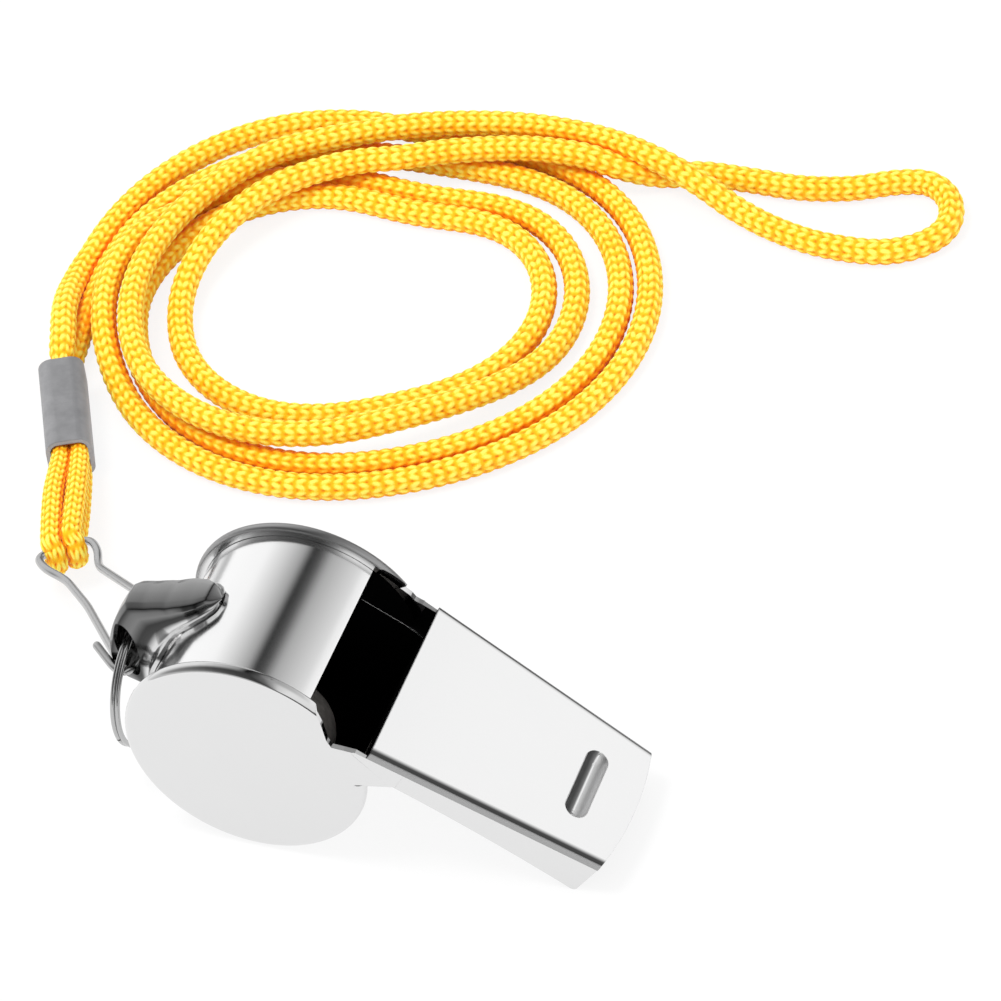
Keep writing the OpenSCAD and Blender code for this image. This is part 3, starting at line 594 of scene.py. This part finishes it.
def tail(side_sign):
    bar = BAR + clip_across * side_sign * TAIL_SPACING
    upper = ferrule_side * side_sign * SQUEEZED_D / 2 + up * cord_rise
    lower = ferrule_side * side_sign * SQUEEZED_D / 2 - up * cord_rise
    half = (ferrule_start + bar) / 2
    spread = ferrule_side * side_sign * TAIL_D / 3
    nest = SQUEEZED_D / 2
    route = [ferrule_middle + upper, ferrule_middle - ferrule_dir * BUTT_GAP / 2 + upper,
             ferrule_start + ferrule_dir * SQUEEZED_D + upper, ferrule_start - ferrule_dir * nest + upper,
             half + spread + up * TAIL_D * TAIL_OVER]
    for angle in range(90, -91, -30):
        a = math.radians(angle)
        route.append(bar + TAIL_SWING * (bar_back * math.cos(a) + up * math.sin(a)))
    route += [half + spread - up * TAIL_D * TAIL_UNDER,
              ferrule_start - ferrule_dir * nest + lower, ferrule_start + ferrule_dir * SQUEEZED_D + lower,
              ferrule_middle - ferrule_dir * BUTT_GAP / 2 + lower, ferrule_middle + lower]
    return curve(route, FINE_STEPS)


def tail_radius(along):
    return swelling(along, TAIL_SWELL, TAIL_KNIT_D)


for name, side_sign in (("cord_tail_inner", 1), ("cord_tail_outer", -1)):
    piece, _ = knit(name + "_knit", tail(side_sign), tail_radius, clip_across, sides=48, leg=0.86)
    piece.data.materials.append(yellow)
    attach(piece, "lanyard")
    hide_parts(name)
    piece.visible_glossy = False

# wire clip
CLIP_BEND = 1.5
BEND_STEPS = 8
WIRE_SIDES = 24
WIRE_STEP = 0.25
WIRE_EASING = 4
# a dome at a wire's end: shares of the wire's radius, outwards and across
DOME = [(0.25, 0.97), (0.6, 0.8), (0.9, 0.42), (0.99, 0.1)]
# places along, across and off the clip, in shares of its reach and width
CLIP_ROUTE = [(0.085, -0.66, -0.14), (-0.058, -0.56, 0.1), (-0.083, -0.37, 0.14), (0.083, 0.37, -0.11),
              (0.166, 0.13, -0.2), (0.34, 0.47, -0.22), (0.78, 0.25, 0.06), (0.88, 0.41, 0), (1, 0.41, 0),
              (1, -0.59, 0), (0.88, -0.59, 0), (0.77, -0.36, 0.08), (0.49, -0.33, 0.04), (0.04, -0.44, 0.02)]


def in_clip(share):
    return (PIN + CLIP_REACH * share[0] * clip_along + CLIP_W * share[1] * clip_across
            + CLIP_W * share[2] * clip_off)


def bent(points, reach):
    """The route with each corner rounded over this reach, or over most of half a short side."""
    made = [points[0]]
    for i in range(1, len(points) - 1):
        before = points[i - 1] - points[i]
        after = points[i + 1] - points[i]
        long_before, long_after = np.linalg.norm(before), np.linalg.norm(after)
        a = points[i] + before / long_before * min(reach, long_before * 0.48)
        b = points[i] + after / long_after * min(reach, long_after * 0.48)
        for s in np.arange(BEND_STEPS + 1) / BEND_STEPS:
            made.append((1 - s) ** 2 * a + 2 * s * (1 - s) * points[i] + s * s * b)
    made.append(points[-1])
    return made


def wire(name, line, radius, first_side):
    """A round wire with domed ends."""
    points = resampled(line, WIRE_STEP, WIRE_EASING)
    tangent, side, over = frames(points, first_side)
    around = np.arange(WIRE_SIDES) / WIRE_SIDES * 2 * math.pi
    ring = unit_rings(around, side, over)

    def dome(end, direction, order):
        outwards = direction * tangent[end] * radius
        return np.array([points[end] + outwards * out_share + radius * size * ring[end]
                         for out_share, size in order])

    tube = points[:, None, :] + radius * ring
    return grid_mesh(name, np.concatenate([dome(0, -1, DOME[::-1]), tube, dome(-1, 1, DOME)]))


clip_line = bent([in_clip(s) for s in CLIP_ROUTE], CLIP_BEND)
clip = wire("clip_wire", clip_line, CLIP_WIRE, clip_off)
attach(clip, "clip")
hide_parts("wire_clip")

# metals
# the whistle's sizes and its place in the frame, as the part's source works them out
PITCH = math.radians(30.6167)
BARREL_X = -9.62029
DISC_R = 12.9
BARREL_R = 11.8
SHEET = 0.6
# the mouthpiece's half width where its taper begins, and the taper as a slope
BEND_U = 8.29823
MOUTH_HALF = 10.6
TAPER = 0.09354


def whistle_space(net):
    """Object coordinates turned so that x runs to the mouthpiece, in mm from the barrel's axis."""
    place = net.object_place()
    centred = net.vector_math("SUBTRACT", place, (BARREL_X * MM, 0, DISC_R * MM))
    turned = net.node("ShaderNodeVectorRotate", rotation_type="AXIS_ANGLE")
    net.put(turned.inputs["Vector"], centred.outputs[0])
    turned.inputs["Axis"].default_value = (0, 1, 0)
    turned.inputs["Angle"].default_value = -PITCH
    scaled = net.node("ShaderNodeVectorMath", operation="SCALE")
    net.put(scaled.inputs[0], turned.outputs[0])
    scaled.inputs["Scale"].default_value = 1 / MM
    return scaled.outputs[0]


# painted shade: the near black, dull metal inside the whistle
INSIDE_PAINTED_SHADE = (0.012, 0.012, 0.013, 1)
DULL_INSIDE = 0.55
BLACK = (0.0, 0.0, 0.0, 1)
# what smudges, polishing lines and specks add to the roughness: shares of it, and a plain amount
SMUDGE_SHARE, LINE_SHARE, SPECK = 0.35, 0.5, 0.01


def steel(name, tone, roughness, edge, brushed=0.0, painted_shade_inside=None, painted_tone=None, crown=None):
    """Polished steel sheet: faint polishing lines, softer smudges and a tiny radius on its edges.

    Of the optional arguments in turn, the first gives the share painted near black as shade inside the
    whistle, the second a tone of painted dark reflections and what is added to the roughness, and crown what
    leans the sheet's shading towards the light.
    """
    made, net, shader = material(name)
    place = whistle_space(net)
    u, w, v = net.separate(place)
    smudge = net.noise(place, scale=0.22, detail=3.0, roughness=0.55)
    speck = net.noise(place, scale=7.0, detail=2.0, roughness=0.6)
    shader.inputs["Metallic"].default_value = 1.0
    base = net.mix(smudge, (tone * 0.985, tone * 0.985, tone * 0.987, 1), (tone, tone, tone * 0.998, 1))
    rough = net.math("ADD", roughness, net.math("MULTIPLY", smudge, roughness * SMUDGE_SHARE))
    normal = net.rounded_edges(edge * MM)
    if crown is not None:
        leaning = net.vector_math("ADD", normal, crown).outputs[0]
        straight = net.node("ShaderNodeVectorMath", operation="NORMALIZE")
        net.put(straight.inputs[0], leaning)
        normal = straight.outputs[0]
    if painted_tone is not None:
        # painted tone: the base is darkened towards black where it stands for dark reflections
        share, duller = painted_tone(net, u, w, v)
        base = net.mix(share, BLACK, base)
        rough = net.math("ADD", rough, duller)
    if brushed:
        # polishing lines run round the barrel
        drawn_out = net.mapping(place, scale=(0.35, 16.0, 0.35))
        lines = net.noise(drawn_out, scale=1.0, detail=3.0, roughness=0.7)
        normal = net.bump(lines, 0.0008 * MM, brushed, normal)
        rough = net.math("ADD", rough, net.math("MULTIPLY", lines, roughness * LINE_SHARE))
    if painted_shade_inside is not None:
        # painted shade: inside the whistle the base turns near black and dull
        inside = painted_shade_inside(net, u, w, v)
        base = net.mix(inside, base, INSIDE_PAINTED_SHADE)
        rough = net.blend(inside, rough, DULL_INSIDE)
    rough = net.math("ADD", rough, net.math("MULTIPLY", speck, SPECK))
    net.put(shader.inputs["Base Color"], base)
    net.put(shader.inputs["Roughness"], rough)
    net.put(shader.inputs["Normal"], normal)
    return made


def from_axis(net, u, v):
    """The distance from the barrel's axis."""
    return net.math("SQRT", net.math("ADD", net.math("MULTIPLY", u, u), net.math("MULTIPLY", v, v)))


def inside_barrel(net, u, w, v):
    """Painted shade inside the chamber and the windway: there the metal is painted near black and made dull.
    """
    return net.math("LESS_THAN", from_axis(net, u, v), BARREL_R - SHEET * 0.6)


# the windway begins this far from the barrel's axis, towards the mouthpiece
WINDWAY_FROM = 8.6


def inside_plate(net, u, w, v):
    """The far plate's inner face, over the chamber and the windway, painted near black as shade."""
    inward = net.math("LESS_THAN", net.separate(net.face_normal())[1], -0.5)
    in_chamber = net.math("LESS_THAN", from_axis(net, u, v), BARREL_R - SHEET)
    in_windway = net.math("GREATER_THAN", u, WINDWAY_FROM)
    return net.math("MULTIPLY", inward, net.math("MAXIMUM", in_chamber, in_windway))


# painted reflection: the far rim's grey tone and dullness
RIM_PAINTED_GREY, RIM_DULLNESS = 0.52, 0.30


def far_rim_painted_grey(net, u, w, v):
    """A painted reflection: an even grey painted on the far rim, set by its own tone and not by what it
    mirrors.
    """
    on_rim = net.smooth(from_axis(net, u, v), BARREL_R + 0.2, DISC_R - 0.15)
    return net.blend(on_rim, 1.0, RIM_PAINTED_GREY), net.math("MULTIPLY", on_rim, RIM_DULLNESS)


# painted dark reflections: tones from the mouthpiece's side edges inwards, by mm
NEAR_EDGE_PAINTED = [(0, 0.85), (0.16, 0.8), (0.24, 0.10), (0.5, 0.09), (0.78, 0.7), (0.95, 1)]
FAR_EDGE_PAINTED = [(0, 0.10), (0.35, 0.12), (0.6, 0.5), (0.85, 0.92), (1, 1)]
# painted shade: tones by how far the sheet leans towards the mouthpiece's tip
DENT_WALL_PAINTED_SHADE = [(0, 1.0), (0.04, 0.8), (0.15, 0.3), (0.45, 0.12), (0.8, 0.12), (0.85, 1.0)]
DENT_DULLNESS = 0.45


def painted_edges_and_dent(net, u, w, v):
    """Painted dark reflections along the mouthpiece's two rolled edges, and painted shade on the dent's wall.
    """
    taper = net.math("MULTIPLY", net.math("SUBTRACT", u, BEND_U), TAPER)
    gap = net.math("SUBTRACT", net.math("SUBTRACT", MOUTH_HALF, taper), net.math("ABSOLUTE", w))
    edges = net.blend(net.math("GREATER_THAN", w, 0.0), net.ramp(gap, NEAR_EDGE_PAINTED), net.ramp(gap, FAR_EDGE_PAINTED))
    to_tip = (math.cos(PITCH), 0, -math.sin(PITCH))
    lean = net.vector_math("DOT_PRODUCT", net.face_normal(), to_tip).outputs["Value"]
    dented = net.smooth(net.math("ABSOLUTE", lean), 0.02, 0.10)
    tone = net.math("MULTIPLY", edges, net.ramp(lean, DENT_WALL_PAINTED_SHADE))
    return tone, net.math("MULTIPLY", dented, DENT_DULLNESS)


# tones over the ear, from the near foot over the ridge to the far foot
EAR_TONES = [(0, 0.8), (0.06, 0.75), (0.095, 0.07), (0.13, 0.05), (0.17, 0.22), (0.215, 0.17), (0.245, 0.05),
             (0.29, 0.14), (0.42, 0.22), (0.58, 0.32), (0.72, 0.42), (0.77, 0.6), (1, 0.5)]


def ear_tone(net, u, w, v):
    """The ear's own tones, which stand for a darker end of the room that it would mirror."""
    across = net.node("ShaderNodeAttribute", attribute_name="across").outputs["Fac"]
    return net.ramp(across, EAR_TONES), 0.05


def under_sheet(net, u, w, v):
    """The lower face of the mouthpiece's top, painted near black as shade."""
    return net.math("LESS_THAN", net.separate(net.face_normal())[2], -0.2)


def dress(name, made):
    slots = nodes[name].material_slots
    for slot in slots:
        slot.material = made
    if not slots:
        nodes[name].data.materials.append(made)


PLATE_TONE = 0.765
MOUTH_CROWN = (0.12, 0.0, -0.07)
dress("barrel_shell", steel("steel_barrel", tone=0.97, roughness=0.10, edge=0.05, brushed=0.5,
                            painted_shade_inside=inside_barrel))
dress("left_side_plate", steel("steel_plates", tone=PLATE_TONE, roughness=0.05, edge=0.05))
dress("right_side_plate", steel("steel_far_plate", tone=PLATE_TONE, roughness=0.05, edge=0.05,
                                painted_shade_inside=inside_plate, painted_tone=far_rim_painted_grey))
dress("mouthpiece_top", steel("steel_mouthpiece", tone=0.90, roughness=0.05, edge=0.12,
                              painted_shade_inside=under_sheet, painted_tone=painted_edges_and_dent, crown=MOUTH_CROWN))
dress("mouthpiece_floor", steel("steel_floor", tone=0.85, roughness=0.12, edge=0.10))
# painted shade: the windway floor inside the whistle is given a dark tone
dress("windway_floor", steel("steel_windway", tone=0.12, roughness=0.45, edge=0.05))

# the lanyard ear: a pressed saddle, its ridge and its flared foot given round the barrel, in
# degrees from the mouthpiece's direction, its heights and half widths in mm
EAR_T = 0.45
EAR_LIFT = 0.06
EAR_FROM, EAR_SPAN = 143.5, 75.0
EAR_ROWS, EAR_COLUMNS = 181, 193
# rows lie closer together where the ear begins, at its strap
EAR_SPREAD = 0.25
# edges between faces that meet at a larger angle stay sharp
EAR_SHARP = math.radians(50)
EAR_RIDGE = [(143.5, 0.5), (147, 1.7), (155, 2.2), (165, 3.1), (173, 4.6), (178, 6.0), (190, 6.1), (203, 6.2),
             (210, 5.9), (214, 4.5), (218.5, 0.5)]
EAR_FOOT = [(143.5, 0.1), (145, 1.5), (150, 2.4), (158, 3.0), (168, 3.1), (173, 3.4), (180, 5.0), (185, 5.3),
            (200, 5.3), (210, 4.9), (218.5, 2.6)]
EAR_CHEEK = [(143.5, 0.1), (146, 1.3), (152, 2.1), (158, 2.4), (218.5, 2.4)]
# from the ridge down to the foot's edge: share of the cheek's half width, share from the cheek
# out to the foot's edge, share of the height
EAR_PROFILE = [(0, 0, 0, 1), (0.3, 0.55, 0, 0.985), (0.5, 0.86, 0, 0.9), (0.65, 0.98, 0, 0.64),
               (0.8, 1, 0.1, 0.28), (0.92, 1, 0.45, 0.07), (1, 1, 1, 0)]
# the slot in the cheeks is egg-shaped, and narrower at its lower end
SLOT_AT = (-14.9, -4.75)
SLOT_TURN = math.radians(-50)
SLOT_HALF_LENGTH = 3.4
SLOT_HALF_WIDTH = 1.3
SLOT_NARROWS = 0.2
SLOT_POINTS = 72
EASED_POINTS, EASED_PASSES = 600, 60


def eased(at, table, column=1):
    """Values between the rows of a table, without overshoot."""
    x = np.array([row[0] for row in table], dtype=float)
    y = np.array([row[column] for row in table], dtype=float)
    fine = np.linspace(x[0], x[-1], EASED_POINTS)
    values = np.interp(fine, x, y)
    for _ in range(EASED_PASSES):
        values[1:-1] = (values[:-2] + 2 * values[1:-1] + values[2:]) / 4
    return np.interp(at, fine, values)


def whistle_to_world(u, w, v):
    return np.stack([BARREL_X + u * math.cos(PITCH) + v * math.sin(PITCH), w,
                     DISC_R - u * math.sin(PITCH) + v * math.cos(PITCH)], axis=-1)


def inside(place, outline):
    """Whether points lie inside a closed outline."""
    x, y = outline[:, 0], outline[:, 1]
    next_x, next_y = np.roll(x, -1), np.roll(y, -1)
    place_x, place_y = place[..., 0, None], place[..., 1, None]
    steps_over = (y > place_y) != (next_y > place_y)
    crossing = x + (place_y - y) / np.where(next_y == y, 1.0, next_y - y) * (next_x - x)
    return (steps_over & (place_x < crossing)).sum(-1) % 2 == 1


def onto(place, outline):
    """The nearest points of a closed outline."""
    edge = np.roll(outline, -1, axis=0) - outline
    offset = place[:, None, :] - outline
    share = np.clip((offset * edge).sum(-1) / np.maximum((edge ** 2).sum(-1), 1e-12), 0, 1)
    found = outline + share[..., None] * edge
    best = np.linalg.norm(place[:, None, :] - found, axis=-1).argmin(-1)
    return found[np.arange(len(place)), best]


def slot_outline():
    t = np.linspace(0, 2 * math.pi, SLOT_POINTS, endpoint=False)
    reach = SLOT_HALF_LENGTH * np.cos(t)
    wide = (SLOT_HALF_WIDTH - SLOT_NARROWS * np.cos(t)) * np.sin(t)
    return np.stack([SLOT_AT[0] + reach * math.cos(SLOT_TURN) - wide * math.sin(SLOT_TURN),
                     SLOT_AT[1] + reach * math.sin(SLOT_TURN) + wide * math.cos(SLOT_TURN)], axis=-1)


def saddle_sheets(across):
    """The ear's outer and inner faces as grids of points, and which of their cells are kept."""
    ends = np.linspace(0, 1, EAR_ROWS)
    angle = EAR_FROM + EAR_SPAN * ((1 - EAR_SPREAD) * ends + EAR_SPREAD * ends ** 2)
    q = np.abs(across)
    foot = eased(angle, EAR_FOOT)[:, None]
    cheek = np.minimum(eased(angle, EAR_CHEEK)[:, None], foot)
    height = eased(angle, EAR_RIDGE)[:, None]
    half = eased(q, EAR_PROFILE, 1) * cheek + eased(q, EAR_PROFILE, 2) * (foot - cheek)
    base = BARREL_R + EAR_LIFT + EAR_T
    r = base + np.maximum(height - EAR_T, 0.02) * eased(q, EAR_PROFILE, 3)
    turn = np.radians(angle)[:, None]
    outer = np.stack([r * np.cos(turn), half * np.sign(across), r * np.sin(turn)], axis=-1)
    along, over = np.gradient(outer, axis=0), np.gradient(outer, axis=1)
    normal = np.cross(over, along)
    normal = normal / np.linalg.norm(normal, axis=-1, keepdims=True)
    radial = np.stack(np.broadcast_arrays(np.cos(turn), 0 * r, np.sin(turn)), axis=-1)
    flip = np.sign((normal * radial).sum(-1).mean())

    # cells inside the slot's outline are left out, and their edge is drawn onto the outline
    slot_line = slot_outline()
    side_view = outer[..., (0, 2)]
    middles = (side_view[1:, 1:] + side_view[1:, :-1] + side_view[:-1, 1:] + side_view[:-1, :-1]) / 4
    kept = ~inside(middles, slot_line)
    rows, columns = r.shape
    touching = np.zeros((rows, columns, 2), dtype=bool)
    for state in (0, 1):
        for i in (0, 1):
            for k in (0, 1):
                touching[i:rows - 1 + i, k:columns - 1 + k, state] |= kept == bool(state)
    edge = touching.all(-1)
    side_view[edge] = onto(side_view[edge], slot_line)
    outer[..., (0, 2)] = side_view
    return outer, outer - normal * flip * EAR_T, kept


def sheet_faces(kept):
    """Both faces of a sheet with these cells, and the walls round its edges and holes."""
    rows, columns = kept.shape[0] + 1, kept.shape[1] + 1
    size = rows * columns
    framed = np.zeros((rows + 1, columns + 1), dtype=bool)
    framed[1:-1, 1:-1] = kept
    faces = []
    for i in range(rows - 1):
        for k in range(columns - 1):
            if kept[i, k]:
                a = i * columns + k
                faces.append((a, a + 1, a + 1 + columns, a + columns))
                faces.append((size + a, size + a + columns, size + a + columns + 1, size + a + 1))
    for i in range(rows):
        for k in range(columns):
            a = i * columns + k
            if k < columns - 1 and framed[i, k + 1] != framed[i + 1, k + 1]:
                faces.append((a, a + 1, size + a + 1, size + a))
            if i < rows - 1 and framed[i + 1, k] != framed[i + 1, k + 1]:
                faces.append((a, a + columns, size + a + columns, size + a))
    return faces


def ear_saddle():
    across = np.linspace(-1, 1, EAR_COLUMNS)
    outer, inner, kept = saddle_sheets(across)
    faces = sheet_faces(kept)
    points = np.concatenate([outer.reshape(-1, 3), inner.reshape(-1, 3)])
    world_points = whistle_to_world(points[:, 0], points[:, 1], points[:, 2]) * MM
    shape = bmesh.new()
    layer = shape.verts.layers.float.new("across")
    corners = [shape.verts.new(point) for point in world_points.tolist()]
    for k, corner in enumerate(corners):
        corner[layer] = (across[k % EAR_COLUMNS] + 1) / 2
    for face in faces:
        shape.faces.new([corners[k] for k in face])
    loose = [corner for corner in corners if not corner.link_faces]
    bmesh.ops.delete(shape, geom=loose, context="VERTS")
    bmesh.ops.recalc_face_normals(shape, faces=shape.faces[:])
    mesh = bpy.data.meshes.new("ear_saddle")
    shape.to_mesh(mesh)
    shape.free()
    mesh.polygons.foreach_set("use_smooth", [True] * len(mesh.polygons))
    mesh.set_sharp_from_angle(angle=EAR_SHARP)
    made = bpy.data.objects.new("ear_saddle", mesh)
    bpy.context.scene.collection.objects.link(made)
    return made


ear = ear_saddle()
ear.data.materials.append(steel("steel_ear", tone=0.90, roughness=0.10, edge=0.06, painted_tone=ear_tone))
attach(ear, "whistle")
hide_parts("lanyard_ear")
wire_steel = steel("drawn_wire", tone=0.50, roughness=0.16, edge=0.02)
dress("split_ring", wire_steel)
clip.data.materials.append(wire_steel)


def ferrule_metal():
    made, net, shader = material("ferrule_aluminium")
    place = net.object_place()
    turned = net.mapping(place, turn=(0, 0, -FERRULE_TURN))
    squeezed = net.mapping(turned, scale=(2600, 260, 260))
    ribs = net.noise(squeezed, scale=1.0, detail=2.0, roughness=0.5)
    grain = net.noise(place, scale=3000.0, detail=4.0, roughness=0.6)
    blotch = net.noise(place, scale=500.0, detail=3.0, roughness=0.6)
    base = net.mix(blotch, (0.30, 0.30, 0.31, 1), (0.52, 0.52, 0.53, 1))
    net.put(shader.inputs["Base Color"], base)
    shader.inputs["Metallic"].default_value = 0.75
    net.put(shader.inputs["Roughness"], net.math("ADD", 0.42, net.math("MULTIPLY", grain, 0.2)))
    normal = net.bump(ribs, 0.05 * MM, 0.7, net.rounded_edges(0.18 * MM))
    normal = net.bump(grain, 0.02 * MM, 0.5, normal)
    net.put(shader.inputs["Normal"], normal)
    return made


dress("crimp_ferrule", ferrule_metal())


def cork():
    made, net, shader = material("pea_cork")
    place = net.object_place()
    grain = net.noise(place, scale=1500.0, detail=5.0, roughness=0.65)
    cells = net.node("ShaderNodeTexVoronoi")
    net.put(cells.inputs["Vector"], place)
    cells.inputs["Scale"].default_value = 900.0
    base = net.mix(grain, (0.09, 0.085, 0.08, 1), (0.30, 0.28, 0.26, 1))
    net.put(shader.inputs["Base Color"], base)
    shader.inputs["Roughness"].default_value = 0.85
    shader.inputs["Specular IOR Level"].default_value = 0.2
    normal = net.bump(cells.outputs["Distance"], 0.12 * MM, 0.6)
    normal = net.bump(grain, 0.08 * MM, 0.7, normal)
    net.put(shader.inputs["Normal"], normal)
    return made


dress("cork_pea", cork())
